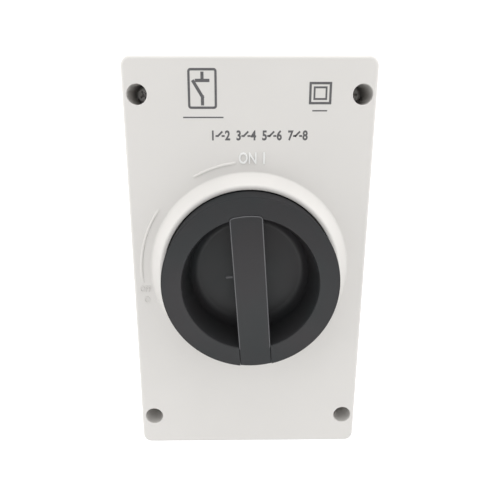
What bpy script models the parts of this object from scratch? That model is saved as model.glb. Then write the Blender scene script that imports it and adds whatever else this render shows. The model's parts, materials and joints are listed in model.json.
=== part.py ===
"""Rotary isolator switch in a wall box: a quarter-turn load-break switch on a mounting rail,
behind a screwed cover with a round knob and a padlock lever.

Units are metres. The wall is the plane y = 0 and the box stands out of it towards -Y, with +Z up
and the origin at the middle of the rear face. Every piece is modelled in the wall frame, an empty
turned so that its x runs right, its y runs up and its z runs out of the wall (the "depth" below).
"""

import math

import bmesh
import bpy
from mathutils import Matrix, Vector

# ---------------------------------------------------------------- driving dimensions
GAP = 0.0003  # clearance kept between touching pieces
OVERRUN = 0.01  # how far a cutter runs past what it cuts

# Enclosure
COVER_W = 0.0988  # front face of the cover
COVER_H = 0.1718
DRAFT = 0.0001  # each side of the cover grows by this towards the base
BASE_W = COVER_W + 2 * DRAFT
BASE_H = COVER_H + 2 * DRAFT
BASE_DEPTH = 0.043
FRONT = 0.066  # depth of the cover's front face
CORNER_R = 0.004
FRONT_EDGE_R = 0.0014
WALL = 0.0032
BACK_WALL = 0.0026
PLATE = 0.003  # thickness of the cover's front plate
POCKET_W = 0.0126  # corner block that keeps each cover screw outside the seal
POCKET_H = 0.023

# Wall fixing holes in the back of the base
WALL_HOLE_R = 0.0026
WALL_HOLE_X = 0.030
WALL_HOLE_Y = 0.070

# Cover screws
SCREW_X = 0.0437
SCREW_Y = 0.0716
WELL_R = 0.0039
WELL_FLOOR = 0.0463
SCREW_HEAD_R = 0.0034
SCREW_HEAD_H = 0.0024
SCREW_SHANK_R = 0.0019
SCREW_TIP = 0.022
PILOT_R = SCREW_SHANK_R + GAP
PILOT_END = SCREW_TIP - 0.001

# Gasket
GASKET_IN = 0.001  # from the cavity outline to the gasket's inner edge
GASKET_W = 0.0012
GASKET_H = 0.0015

# Collar round the knob
COLLAR_BASE_R = 0.0415
COLLAR_TOP_R = 0.0370
COLLAR_H = 0.006
RECESS_R = 0.0354
RECESS_FLOOR = 0.064
RECESS_BACK = 0.061
HUB_BORE_R = 0.0104
HUB_R = 0.0122
HUB_END = 0.057

# Knob
KNOB_R = 0.035
KNOB_FACE = 0.085  # depth of the knob's flat rim
KNOB_BACK = 0.0644
RIM_EDGE = 0.0006
DISH_R = 0.0269  # inner edge of the rim
DISH_FLOOR = 0.067
DISH_FLOOR_R = 0.0244  # where the floor and the wall would meet without their fillet
DISH_FILLET = 0.004
SKIRT = 0.0025  # outer wall and face of the hollow rim
HOLLOW_BACK_R = 0.0274  # inner side of the rim's hollow, at the knob's back
HOLLOW_FRONT_R = 0.0304
KNOB_HUB_R = 0.0075
REST_LEAN = math.radians(4)  # the knob stands this far off 12 o'clock, towards OFF
PEDESTAL_TOP = 0.0746
PEDESTAL_REACH = 0.0257
BLOCK_W = 0.025  # block inside the rim that holds the lever's pin
BLOCK_LOW_Y = -0.0318
BLOCK_HIGH_Y = -0.0265
KNOB_SCREW_R = 0.0015
KNOB_SCREW_TIP = 0.0595
KNOB_SCREW_SEAT_R = 0.0036

# Padlock lever: the grip bar
BAR_W = 0.0126
LEVER_BACK = 0.075
LEVER_TIP_R = 0.0280
LEVER_TAIL_R = 0.0346
PIVOT_Y = -0.031
PIVOT_DEPTH = 0.0795
PIN_R = 0.0012
PIN_L = 0.0204
PADLOCK_R = 0.0036
PADLOCK_Y = 0.015
TAIL_ROOM_Y = -0.0262
TAIL_ROOM_BACK = 0.073
SPRING_ROOM_W = 0.0056
SPRING_ROOM_H = 0.006

# Drive
SHAFT_SIDE = 0.006
SHAFT_BACK = 0.048
SHAFT_FRONT = 0.068
CONTACT_SHAFT_SIDE = 0.008

# Switch body
BODY_W = 0.050
BODY_H = 0.060
BODY_CORNER_R = 0.003
BODY_BACK = 0.0178
DECK_PITCH = 0.0073
DECK_FLOOR = 0.0016
DECKS = 4
CHAMBER_R = 0.0175
SHAFT_BORE_R = 0.0063
MECHANISM_FRONT = 0.0555
MECHANISM_ROOM_R = 0.017
MECHANISM_BORE_R = 0.005
BOLT_X = 0.020
BOLT_Y = 0.0245
BOLT_R = 0.0015

# Contacts: flat copper strips, turned up at the terminal
STRIP_LEVEL = 0.0024  # from the back of the deck
STRIP_THICK = 0.001
STRIP_W = 0.007
STRIP_START = 0.012
STRIP_END = 0.025
STRIP_LIP_H = 0.0042
SLOT_W = 0.008
ROTOR_R = 0.0095
BRIDGE_W = 0.0116
BRIDGE_L = 0.030

# Rail, and the foot and clip that hold it
RAIL_W = 0.035
RAIL_WEB_W = 0.025
RAIL_H = 0.0075
RAIL_THICK = 0.001
RAIL_LENGTH = 0.070
RAIL_BACK = 0.006
RAIL_SCREW_X = 0.028
POST_R = 0.004
POST_HOLE_R = 0.0017
POST_HOLE_END = 0.0012
FOOT_HALF_H = 0.028
FOOT_HOOK = 0.0028  # the hook's thickness beyond the rail's lip
FOOT_BITE = 0.002  # how far hook and clip reach behind the lips
CLIP_W = 0.012
CLIP_REACH = 0.014

# Cable entries
ENTRY_R = 0.0102
ENTRY_DEPTH = 0.018
ENTRY_HEAD_R = 0.0130
ENTRY_HEAD_H = 0.002
ENTRY_THREAD_H = 0.008
ENTRY_WALL = 0.002
ENTRY_SEAL_H = 0.0008
ENTRY_SEAT = 0.0012  # the plug's head sits in a spot face this deep

MECHANISM_BACK = BODY_BACK + DECKS * DECK_PITCH
RAIL_FRONT = RAIL_BACK + RAIL_H
FOOT_BACK = RAIL_FRONT + GAP
LIP_CATCH = RAIL_FRONT - RAIL_THICK - GAP
HOOK_BACK = FOOT_BACK - 0.0038
CAVITY_X = BASE_W / 2 - WALL
CAVITY_Y = BASE_H / 2 - WALL
POCKET_X = BASE_W / 2 - POCKET_W
POCKET_Y = BASE_H / 2 - POCKET_H
CORNERS = [(sx, sy) for sx in (-1, 1) for sy in (1, -1)]
BOLT_PLACES = [(-BOLT_X, -BOLT_Y), (BOLT_X, BOLT_Y)]

COLOURS = {
    "cover_plastic": ((0.78, 0.78, 0.76), 0.42, 0.0),
    "base_plastic": ((0.70, 0.71, 0.70), 0.5, 0.0),
    "knob_plastic": ((0.022, 0.022, 0.024), 0.25, 0.0),
    "switch_plastic": ((0.10, 0.105, 0.11), 0.5, 0.0),
    "rubber": ((0.03, 0.03, 0.03), 0.8, 0.0),
    "steel": ((0.62, 0.62, 0.60), 0.3, 1.0),
    "copper": ((0.78, 0.42, 0.28), 0.3, 1.0),
}


# ---------------------------------------------------------------- scene and frames
def clear_scene():
    for obj in list(bpy.data.objects):
        bpy.data.objects.remove(obj, do_unlink=True)


def new_collection(name):
    collection = bpy.data.collections.new(name)
    bpy.context.scene.collection.children.link(collection)
    return collection


def new_empty(name, location, parent=None):
    empty = bpy.data.objects.new(name, None)
    empty.location = location
    empty.parent = parent
    PARTS.objects.link(empty)
    return empty


def make_material(name):
    colour, roughness, metallic = COLOURS[name]
    material = bpy.data.materials.get(name) or bpy.data.materials.new(name)
    material.use_nodes = True
    shader = material.node_tree.nodes["Principled BSDF"]
    shader.inputs["Base Color"].default_value = (*colour, 1.0)
    shader.inputs["Roughness"].default_value = roughness
    shader.inputs["Metallic"].default_value = metallic
    return material


def finish(obj, material, parent, smooth=True):
    """Puts a piece in its frame, under its material, with round faces shaded smooth."""
    obj.parent = parent
    obj.data.materials.clear()
    obj.data.materials.append(make_material(material))
    if smooth:
        obj.data.shade_smooth()
        obj.data.set_sharp_from_angle(angle=math.radians(35))
    return obj


# ---------------------------------------------------------------- shape builders
def mesh_object(name, bm, collection):
    mesh = bpy.data.meshes.new(name)
    bm.to_mesh(mesh)
    bm.free()
    obj = bpy.data.objects.new(name, mesh)
    collection.objects.link(obj)
    return obj


def as_cutter(obj):
    obj.hide_render = True
    obj.display_type = "WIRE"
    return obj


def box(name, low, high, collection=None):
    """A box between two corners."""
    bm = bmesh.new()
    bmesh.ops.create_cube(bm, size=1.0)
    for vert in bm.verts:
        vert.co = [lo + (c + 0.5) * (hi - lo) for c, lo, hi in zip(vert.co, low, high)]
    return mesh_object(name, bm, collection or PARTS)


def cylinder(name, radius, start, end, centre=(0.0, 0.0), axis="z", segments=24, collection=None):
    """A cylinder along one axis; centre gives its place on the other two axes, in x, y, z order."""
    bm = bmesh.new()
    bmesh.ops.create_cone(
        bm, cap_ends=True, segments=segments, radius1=radius, radius2=radius, depth=end - start
    )
    middle = (start + end) / 2
    for vert in bm.verts:
        a, b, c = vert.co
        if axis == "z":
            vert.co = (a + centre[0], b + centre[1], c + middle)
        elif axis == "y":
            vert.co = (b + centre[0], c + middle, a + centre[1])
        else:
            vert.co = (c + middle, a + centre[0], b + centre[1])
    return mesh_object(name, bm, collection or PARTS)


def turned(name, profile, segments=48, closed=True, collection=None):
    """A solid of revolution about z from (radius, depth) points that run down the outer side first."""
    bm = bmesh.new()
    verts = [bm.verts.new((radius, 0.0, depth)) for radius, depth in profile]
    for first, second in zip(verts, verts[1:]):
        bm.edges.new((first, second))
    if closed:
        bm.edges.new((verts[-1], verts[0]))
    obj = mesh_object(name, bm, collection or PARTS)
    screw = obj.modifiers.new("turn", "SCREW")
    screw.axis = "Z"
    screw.steps = segments
    screw.render_steps = segments
    screw.use_merge_vertices = True
    screw.merge_threshold = 1e-6
    return obj


def rounded_rectangle(width, height, radius, arc_steps=4):
    """The corner arcs of a rounded rectangle, in order."""
    points = []
    for quarter, (sx, sy) in enumerate([(1, 1), (-1, 1), (-1, -1), (1, -1)]):
        cx = sx * (width / 2 - radius)
        cy = sy * (height / 2 - radius)
        for step in range(arc_steps + 1):
            angle = math.pi / 2 * (quarter + step / arc_steps)
            points.append((cx + radius * math.cos(angle), cy + radius * math.sin(angle)))
    return points


def cavity_outline(grow):
    """The sealed room inside the box: a rectangle with a screw block cut out of each corner."""
    x, y = CAVITY_X + grow, CAVITY_Y + grow
    px, py = POCKET_X + grow, POCKET_Y + grow
    return [
        (px, y), (-px, y), (-px, py), (-x, py), (-x, -py), (-px, -py),
        (-px, -y), (px, -y), (px, -py), (x, -py), (x, py), (px, py),
    ]  # fmt: skip


def prism(name, outline, start, end, collection=None):
    """A flat outline, anticlockwise from the front, drawn out between two depths."""
    bm = bmesh.new()
    face = bm.faces.new([bm.verts.new((x, y, start)) for x, y in outline])
    front = bmesh.ops.extrude_face_region(bm, geom=[face])["geom"]
    moved = [item for item in front if isinstance(item, bmesh.types.BMVert)]
    bmesh.ops.translate(bm, verts=moved, vec=(0.0, 0.0, end - start))
    bmesh.ops.recalc_face_normals(bm, faces=bm.faces)
    return mesh_object(name, bm, collection or PARTS)


def ring_prism(name, outer, inner, start, end, collection=None):
    """A flat ring between two outlines and two depths, from a filled 2D curve."""
    curve = bpy.data.curves.new(name, "CURVE")
    curve.dimensions = "2D"
    curve.fill_mode = "BOTH"
    curve.extrude = (end - start) / 2
    for outline in (outer, inner):
        spline = curve.splines.new("POLY")
        spline.points.add(len(outline) - 1)
        for point, (x, y) in zip(spline.points, outline):
            point.co = (x, y, 0.0, 1.0)
        spline.use_cyclic_u = True
    flat = bpy.data.objects.new(name + "_outline", curve)
    PARTS.objects.link(flat)
    graph = bpy.context.evaluated_depsgraph_get()
    mesh = bpy.data.meshes.new_from_object(flat.evaluated_get(graph))
    bpy.data.objects.remove(flat)
    bm = bmesh.new()
    bm.from_mesh(mesh)
    bmesh.ops.remove_doubles(bm, verts=bm.verts, dist=1e-6)
    bmesh.ops.translate(bm, verts=bm.verts, vec=(0.0, 0.0, (start + end) / 2))
    return mesh_object(name, bm, collection or PARTS)


def side_prism(name, outline, start, end, collection=None):
    """An outline in (y, depth) run along x."""
    obj = prism(name, outline, start, end, collection)
    for vert in obj.data.vertices:
        y, depth, x = vert.co
        vert.co = (x, y, depth)
    return obj


def circle(radius, count):
    return [
        (radius * math.cos(2 * math.pi * step / count), radius * math.sin(2 * math.pi * step / count))
        for step in range(count)
    ]


def square(half):
    return [(half, half), (-half, half), (-half, -half), (half, -half)]


def coil(name, radius, wire, start, end, turns, steps_per_turn):
    """A helical spring along z with closed wire ends."""
    curve = bpy.data.curves.new(name, "CURVE")
    curve.dimensions = "3D"
    curve.bevel_depth = wire
    curve.bevel_resolution = 2
    curve.use_fill_caps = True
    spline = curve.splines.new("POLY")
    count = int(turns * steps_per_turn)
    spline.points.add(count)
    for index, point in enumerate(spline.points):
        angle = 2 * math.pi * index / steps_per_turn
        depth = start + (end - start) * index / count
        point.co = (radius * math.cos(angle), radius * math.sin(angle), depth, 1.0)
    obj = bpy.data.objects.new(name, curve)
    PARTS.objects.link(obj)
    return obj


def boolean(target, tool, operation="DIFFERENCE"):
    """Cuts or joins; the tool stays in the cutters' collection, out of the build."""
    modifier = target.modifiers.new(operation.lower() + "_" + tool.name, "BOOLEAN")
    modifier.operation = operation
    modifier.object = as_cutter(tool)
    modifier.solver = "EXACT"
    tool.parent = target.parent
    return target


def drill(target, name, radius, start, end, centre=(0.0, 0.0), segments=12, axis="z"):
    """Cuts a round hole along one axis."""
    return boolean(target, cylinder(name, radius, start, end, centre, axis, segments, CUTTERS))


# ---------------------------------------------------------------- enclosure
def make_base_box():
    base = prism("base_box", rounded_rectangle(BASE_W, BASE_H, CORNER_R), 0.0, BASE_DEPTH)
    finish(base, "base_plastic", WALL_FRAME)
    boolean(base, prism("base_cavity", cavity_outline(0.0), BACK_WALL, BASE_DEPTH + OVERRUN, CUTTERS))
    for index, (sx, sy) in enumerate(CORNERS):
        pilot_place = (sx * SCREW_X, sy * SCREW_Y)
        drill(base, f"base_pilot_{index}", PILOT_R, PILOT_END, BASE_DEPTH + OVERRUN, pilot_place)
        wall_place = (sx * WALL_HOLE_X, sy * WALL_HOLE_Y)
        drill(base, f"base_wall_hole_{index}", WALL_HOLE_R, -OVERRUN, BACK_WALL + OVERRUN, wall_place, 16)
    for side in (-1, 1):
        place = (side * RAIL_SCREW_X, 0.0)
        post = cylinder(f"base_post_{side}", POST_R, BACK_WALL / 2, RAIL_BACK - GAP, place, "z", 16, CUTTERS)
        boolean(base, post, "UNION")
        drill(base, f"base_post_hole_{side}", POST_HOLE_R, POST_HOLE_END, RAIL_BACK + OVERRUN, place)
    for side in (-1, 1):
        entry_ends = sorted((side * (CAVITY_Y - OVERRUN), side * (BASE_H / 2 + OVERRUN)))
        drill(base, f"base_entry_{side}", ENTRY_R + GAP, *entry_ends, (0.0, ENTRY_DEPTH), 24, "y")
        seat_ends = sorted((side * (BASE_H / 2 - ENTRY_SEAT), side * (BASE_H / 2 + OVERRUN)))
        seat_r = ENTRY_HEAD_R + 2 * GAP
        drill(base, f"base_entry_seat_{side}", seat_r, *seat_ends, (0.0, ENTRY_DEPTH), 24, "y")


def make_front_cover():
    back = BASE_DEPTH + GAP
    cover = prism("front_cover", rounded_rectangle(BASE_W, BASE_H, CORNER_R), back, FRONT)
    taper_front(cover.data)
    finish(cover, "cover_plastic", WALL_FRAME)
    round_edge = cover.modifiers.new("front_edge", "BEVEL")
    round_edge.limit_method = "WEIGHT"
    round_edge.width = FRONT_EDGE_R
    round_edge.segments = 3
    boolean(cover, prism("cover_cavity", cavity_outline(0.0), back - OVERRUN, FRONT - PLATE, CUTTERS))
    drill(cover, "cover_opening", COLLAR_TOP_R + 0.001, RECESS_BACK, FRONT + OVERRUN, segments=48)
    collar_profile = [
        (COLLAR_TOP_R, FRONT + COLLAR_H),
        (COLLAR_BASE_R, FRONT),
        (COLLAR_BASE_R, FRONT - PLATE / 2),
        (COLLAR_BASE_R - 0.002, RECESS_BACK),
        (HUB_R, RECESS_BACK),
        (HUB_R, HUB_END),
        (HUB_BORE_R, HUB_END),
        (HUB_BORE_R, RECESS_FLOOR),
        (RECESS_R, RECESS_FLOOR),
        (RECESS_R, FRONT + COLLAR_H),
    ]
    boolean(cover, turned("cover_collar", collar_profile, 48, collection=CUTTERS), "UNION")
    for index, (sx, sy) in enumerate(CORNERS):
        place = (sx * SCREW_X, sy * SCREW_Y)
        drill(cover, f"cover_well_{index}", WELL_R, WELL_FLOOR, FRONT + OVERRUN, place, 20)
        hole_r = SCREW_SHANK_R + 2 * GAP
        drill(cover, f"cover_hole_{index}", hole_r, back - OVERRUN, WELL_FLOOR + OVERRUN, place)
    groove = ring_prism(
        "cover_groove",
        cavity_outline(GASKET_IN + GASKET_W + GAP),
        cavity_outline(GASKET_IN - GAP),
        back - OVERRUN,
        back + GASKET_H + GAP,
        CUTTERS,
    )
    boolean(cover, groove)


def taper_front(mesh):
    """Draws the front face in by the draft and marks its outline for rounding."""
    middle = (BASE_DEPTH + FRONT) / 2
    for vert in mesh.vertices:
        if vert.co.z > middle:
            vert.co.x -= math.copysign(DRAFT, vert.co.x)
            vert.co.y -= math.copysign(DRAFT, vert.co.y)
    weights = mesh.attributes.new("bevel_weight_edge", "FLOAT", "EDGE")
    for edge in mesh.edges:
        if all(mesh.vertices[index].co.z > middle for index in edge.vertices):
            weights.data[edge.index].value = 1.0


def make_cover_gasket():
    outer, inner = cavity_outline(GASKET_IN + GASKET_W), cavity_outline(GASKET_IN)
    start = BASE_DEPTH + GAP
    gasket = ring_prism("cover_gasket", outer, inner, start, start + GASKET_H)
    finish(gasket, "rubber", WALL_FRAME, smooth=False)


def make_cover_screws():
    head = WELL_FLOOR + GAP
    top = head + SCREW_HEAD_H
    profile = [
        (0.0, top),
        (SCREW_HEAD_R * 0.8, top),
        (SCREW_HEAD_R, top - SCREW_HEAD_H * 0.3),
        (SCREW_HEAD_R, head),
        (SCREW_SHANK_R, head),
        (SCREW_SHANK_R, SCREW_TIP + SCREW_SHANK_R),
        (0.0, SCREW_TIP),
    ]
    slot_half_w, slot_half_l, slot_floor = 0.0005, 0.005, head + SCREW_HEAD_H * 0.45
    for index, (sx, sy) in enumerate(CORNERS, start=1):
        screw = turned(f"cover_screw_{index}", profile, 12, closed=False)
        screw.location = (sx * SCREW_X, sy * SCREW_Y, 0.0)
        finish(screw, "steel", WALL_FRAME)
        low = (-slot_half_w, -slot_half_l, slot_floor)
        high = (slot_half_w, slot_half_l, top + OVERRUN)
        slot = box(f"cover_screw_slot_{index}", low, high, CUTTERS)
        boolean(screw, slot)
        slot.location = screw.location


def make_entry_plugs():
    """Blanking plugs in the top and bottom cable entries, each on a flat seal."""
    wall_out = BASE_H / 2 - ENTRY_SEAT
    seal_back, seal_front = wall_out + GAP, wall_out + GAP + ENTRY_SEAL_H
    head = seal_front + GAP
    top = head + ENTRY_HEAD_H
    bottom = head - ENTRY_THREAD_H
    plug_profile = [
        (0.0, top),
        (ENTRY_HEAD_R - 0.0006, top),
        (ENTRY_HEAD_R, top - 0.0006),
        (ENTRY_HEAD_R, head),
        (ENTRY_R - GAP, head),
        (ENTRY_R - GAP, bottom),
        (ENTRY_R - ENTRY_WALL, bottom),
        (ENTRY_R - ENTRY_WALL, head - 0.001),
        (0.0, head - 0.001),
    ]
    seal_profile = [
        (ENTRY_HEAD_R - 0.0004, seal_front),
        (ENTRY_HEAD_R - 0.0004, seal_back),
        (ENTRY_R + 0.0004, seal_back),
        (ENTRY_R + 0.0004, seal_front),
    ]
    slot_half_l, slot_half_w, slot_depth = 0.006, 0.001, 0.0008
    for index, side in enumerate((1, -1), start=1):
        plug = turned(f"entry_plug_{index}", plug_profile, 24, closed=False)
        seal = turned(f"entry_plug_seal_{index}", seal_profile, 24)
        finish(plug, "base_plastic", WALL_FRAME)
        finish(seal, "rubber", WALL_FRAME)
        low = (-slot_half_l, -slot_half_w, top - slot_depth)
        high = (slot_half_l, slot_half_w, top + OVERRUN)
        slot = box(f"entry_plug_slot_{index}", low, high, CUTTERS)
        boolean(plug, slot)
        for obj in (plug, seal, slot):
            obj.location = (0.0, 0.0, ENTRY_DEPTH)
            obj.rotation_euler = (-side * math.pi / 2, 0.0, 0.0)


# ---------------------------------------------------------------- rail and foot
def make_rail():
    """A 35 mm top-hat rail across the back, held by two screws."""
    web, lip = RAIL_WEB_W / 2, RAIL_W / 2
    back, front, thick = RAIL_BACK, RAIL_FRONT, RAIL_THICK
    outline = [
        (-lip, front), (-lip, front - thick), (-web, front - thick), (-web, back),
        (web, back), (web, front - thick), (lip, front - thick), (lip, front),
        (web - thick, front), (web - thick, back + thick),
        (-web + thick, back + thick), (-web + thick, front),
    ]  # fmt: skip
    rail = side_prism("din_rail", outline, -RAIL_LENGTH / 2, RAIL_LENGTH / 2)
    finish(rail, "steel", WALL_FRAME, smooth=False)
    head = back + thick + GAP
    head_h, head_r, shank_r, tip = 0.002, 0.003, 0.0014, 0.0015
    profile = [
        (0.0, head + head_h),
        (head_r - 0.0008, head + head_h),
        (head_r, head + head_h / 2),
        (head_r, head),
        (shank_r, head),
        (shank_r, tip + 0.0005),
        (0.0, tip),
    ]
    for index, side in enumerate((-1, 1), start=1):
        place = (side * RAIL_SCREW_X, 0.0)
        drill(rail, f"rail_hole_{index}", shank_r + 0.0005, 0.0, front, place)
        screw = turned(f"rail_screw_{index}", profile, 12, closed=False)
        screw.location = (*place, 0.0)
        finish(screw, "steel", WALL_FRAME)


def make_foot():
    """The rear plate of the switch, with its fixed hook over the rail's upper lip."""
    lip = RAIL_W / 2
    front = BODY_BACK - GAP
    hook_tip = lip + FOOT_HOOK
    outline = [
        (-FOOT_HALF_H, FOOT_BACK), (lip + GAP, FOOT_BACK), (lip + GAP, LIP_CATCH),
        (lip - FOOT_BITE, LIP_CATCH), (lip - FOOT_BITE, HOOK_BACK), (hook_tip, HOOK_BACK),
        (hook_tip, FOOT_BACK),
        (FOOT_HALF_H, FOOT_BACK), (FOOT_HALF_H, front), (-FOOT_HALF_H, front),
    ]  # fmt: skip
    foot = side_prism("mounting_foot", outline, -BODY_W / 2, BODY_W / 2)
    finish(foot, "switch_plastic", WALL_FRAME, smooth=False)
    for index, (x, y) in enumerate(BOLT_PLACES):
        drill(foot, f"foot_bolt_hole_{index}", BOLT_R + GAP, FOOT_BACK + 0.0008, BODY_BACK + OVERRUN, (x, y))


def make_rail_clip():
    """The sliding clip under the rail's lower lip, with an eye for a screwdriver."""
    lip = RAIL_W / 2
    bottom = -lip - CLIP_REACH
    front = FOOT_BACK - GAP
    outline = [
        (-lip + FOOT_BITE, LIP_CATCH), (-lip - GAP, LIP_CATCH), (-lip - GAP, front), (bottom, front),
        (bottom, HOOK_BACK), (-lip + 0.0008, HOOK_BACK), (-lip + FOOT_BITE, HOOK_BACK + 0.0012),
    ]  # fmt: skip
    clip = side_prism("rail_clip", outline, -CLIP_W / 2, CLIP_W / 2)
    finish(clip, "switch_plastic", WALL_FRAME, smooth=False)
    eye_half_w, eye_low, eye_high = 0.003, bottom + 0.0015, bottom + 0.0035
    eye = box("rail_clip_eye", (-eye_half_w, eye_low, 0.0), (eye_half_w, eye_high, 2 * RAIL_FRONT), CUTTERS)
    boolean(clip, eye)


# ---------------------------------------------------------------- switch body
def make_pole_housing(deck):
    """One deck: a flat housing with a round chamber, a slot to each terminal and two bolt holes."""
    back = BODY_BACK + deck * DECK_PITCH
    front = back + DECK_PITCH - GAP
    floor = back + DECK_FLOOR
    over = front + OVERRUN
    name = f"pole_housing_{deck + 1}"
    housing = prism(name, rounded_rectangle(BODY_W, BODY_H, BODY_CORNER_R, 2), back, front)
    finish(housing, "switch_plastic", WALL_FRAME)
    drill(housing, name + "_chamber", CHAMBER_R, floor, over, segments=32)
    drill(housing, name + "_bore", SHAFT_BORE_R, back - OVERRUN, over, segments=16)
    for index, side in enumerate((-1, 1)):
        ends = sorted((side * STRIP_START, side * (BODY_H / 2 + OVERRUN)))
        low, high = (-SLOT_W / 2, ends[0], floor), (SLOT_W / 2, ends[1], over)
        boolean(housing, box(name + f"_slot_{index}", low, high, CUTTERS))
        drill(housing, name + f"_bolt_{index}", BOLT_R + GAP, back - OVERRUN, over, BOLT_PLACES[index])


def make_fixed_contacts(deck):
    """Copper strips that reach from the chamber to the terminals, each with its clamping screw."""
    level = BODY_BACK + deck * DECK_PITCH + STRIP_LEVEL
    tapping_level = level + STRIP_LIP_H / 2 + 0.0005
    head, head_h, head_r, shank_r = STRIP_END + GAP, 0.0029, 0.0018, 0.0008
    profile = [
        (0.0, head + head_h),
        (head_r - 0.0002, head + head_h),
        (head_r, head + head_h - 0.0004),
        (head_r, head),
        (shank_r, head),
        (shank_r, head - 0.0038),
        (0.0, head - 0.0038),
    ]
    for end, side in enumerate((1, -1)):
        number = 2 * deck + end + 1
        strip = [
            (STRIP_START - 0.001, level), (STRIP_END, level), (STRIP_END, level + STRIP_LIP_H),
            (STRIP_END - STRIP_THICK, level + STRIP_LIP_H), (STRIP_END - STRIP_THICK, level + STRIP_THICK),
            (STRIP_START - 0.001, level + STRIP_THICK),
        ]  # fmt: skip
        if side < 0:
            strip = [(-y, depth) for y, depth in reversed(strip)]
        contact = side_prism(f"fixed_contact_{number}", strip, -STRIP_W / 2, STRIP_W / 2)
        finish(contact, "copper", WALL_FRAME, smooth=False)
        ends = sorted((side * (STRIP_END - 0.0015), side * (STRIP_END + 0.0005)))
        tapping_r = shank_r + GAP
        drill(contact, f"contact_tapping_{number}", tapping_r, *ends, (0.0, tapping_level), 10, "y")
        screw = turned(f"terminal_screw_{number}", profile, 8, closed=False)
        finish(screw, "steel", WALL_FRAME)
        screw.location = (0.0, 0.0, tapping_level)
        screw.rotation_euler = (-side * math.pi / 2, 0.0, 0.0)


def make_moving_contact(deck):
    """A plastic rotor and the copper bridge that it carries, both keyed on the contact shaft."""
    back = BODY_BACK + deck * DECK_PITCH
    key = square(CONTACT_SHAFT_SIDE / 2 + GAP)
    rotor_back, rotor_h = back + 0.0019, 0.0015
    rotor = ring_prism(f"rotor_{deck + 1}", circle(ROTOR_R, 24), key, rotor_back, rotor_back + rotor_h)
    finish(rotor, "switch_plastic", CONTACT_AXIS, smooth=False)
    w, h, trim = BRIDGE_W / 2, BRIDGE_L / 2, 0.002
    bridge = [
        (w, h - trim), (w - trim, h), (trim - w, h), (-w, h - trim),
        (-w, trim - h), (trim - w, -h), (w - trim, -h), (w, trim - h),
    ]  # fmt: skip
    bridge_back = rotor_back + rotor_h + GAP
    contact = ring_prism(f"moving_contact_{deck + 1}", bridge, key, bridge_back, bridge_back + STRIP_THICK)
    finish(contact, "copper", CONTACT_AXIS, smooth=False)


def make_contact_shaft():
    half, end_room = CONTACT_SHAFT_SIDE / 2, 0.0006
    low, high = (-half, -half, BODY_BACK + end_room), (half, half, MECHANISM_BACK + end_room)
    finish(box("contact_shaft", low, high), "switch_plastic", CONTACT_AXIS, smooth=False)


def make_mechanism():
    """The housing in front of the decks, and the two long bolts that hold the stack together."""
    outline = rounded_rectangle(BODY_W, BODY_H, BODY_CORNER_R, 2)
    housing = prism("mechanism_housing", outline, MECHANISM_BACK, MECHANISM_FRONT)
    finish(housing, "switch_plastic", WALL_FRAME)
    back, front = MECHANISM_BACK - OVERRUN, MECHANISM_FRONT + OVERRUN
    drill(housing, "mechanism_room", MECHANISM_ROOM_R, back, MECHANISM_FRONT - 0.002, segments=32)
    drill(housing, "mechanism_bore", MECHANISM_BORE_R, MECHANISM_BACK, front, segments=20)
    head, head_h, head_r = MECHANISM_FRONT + GAP, 0.002, 0.0028
    tip = RAIL_FRONT + 0.0014
    profile = [
        (0.0, head + head_h),
        (head_r - 0.0006, head + head_h),
        (head_r, head + head_h - 0.0006),
        (head_r, head),
        (BOLT_R, head),
        (BOLT_R, tip),
        (0.0, tip),
    ]
    for index, (x, y) in enumerate(BOLT_PLACES, start=1):
        drill(housing, f"mechanism_bolt_{index}", BOLT_R + GAP, back, front, (x, y))
        bolt = turned(f"stack_bolt_{index}", profile, 12, closed=False)
        bolt.location = (x, y, 0.0)
        finish(bolt, "steel", WALL_FRAME)


# ---------------------------------------------------------------- drive
def make_drive_shaft():
    """The square shaft from the knob into the mechanism, tapped for the knob's screw."""
    half = SHAFT_SIDE / 2
    shaft = box("drive_shaft", (-half, -half, SHAFT_BACK), (half, half, SHAFT_FRONT))
    finish(shaft, "steel", KNOB_AXIS, smooth=False)
    drill(shaft, "shaft_tapping", KNOB_SCREW_R + GAP, KNOB_SCREW_TIP - 0.001, SHAFT_FRONT + OVERRUN)
    top, head_r, head_h = DISH_FLOOR + 0.0065, 0.003, 0.0023
    profile = [
        (0.0, top),
        (head_r - 0.0005, top),
        (head_r, top - 0.0007),
        (head_r, top - head_h),
        (KNOB_SCREW_R, top - head_h),
        (KNOB_SCREW_R, KNOB_SCREW_TIP + 0.0005),
        (0.0, KNOB_SCREW_TIP),
    ]
    finish(turned("knob_screw", profile, 12, closed=False), "steel", KNOB_AXIS)


def make_cam_and_spring():
    """The lobed cam on the shaft's end and the wound spring in front of it."""
    cam_r, flat_from, flat_share, cam_h = 0.009, 0.006, 0.8, 0.0045
    lobes = [(x * (1.0 if abs(x) < flat_from else flat_share), y) for x, y in circle(cam_r, 28)]
    cam_back = SHAFT_BACK + GAP
    cam = ring_prism("drive_cam", lobes, square(SHAFT_SIDE / 2 + GAP), cam_back, cam_back + cam_h)
    finish(cam, "switch_plastic", KNOB_AXIS, smooth=False)
    radius, wire, turns = 0.0125, 0.0006, 2.5
    spring = coil("snap_spring", radius, wire, SHAFT_BACK + 0.0008, MECHANISM_FRONT - 0.0035, turns, 14)
    finish(spring, "steel", KNOB_AXIS, smooth=False)


def make_shaft_seal():
    back, front = HUB_END + 0.0008, HUB_END + 0.0036
    outer, inner = HUB_BORE_R - GAP, KNOB_HUB_R + GAP
    profile = [(outer, front), (outer, back), (inner, back), (inner, front)]
    finish(turned("shaft_seal", profile, 24), "rubber", WALL_FRAME)


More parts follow.
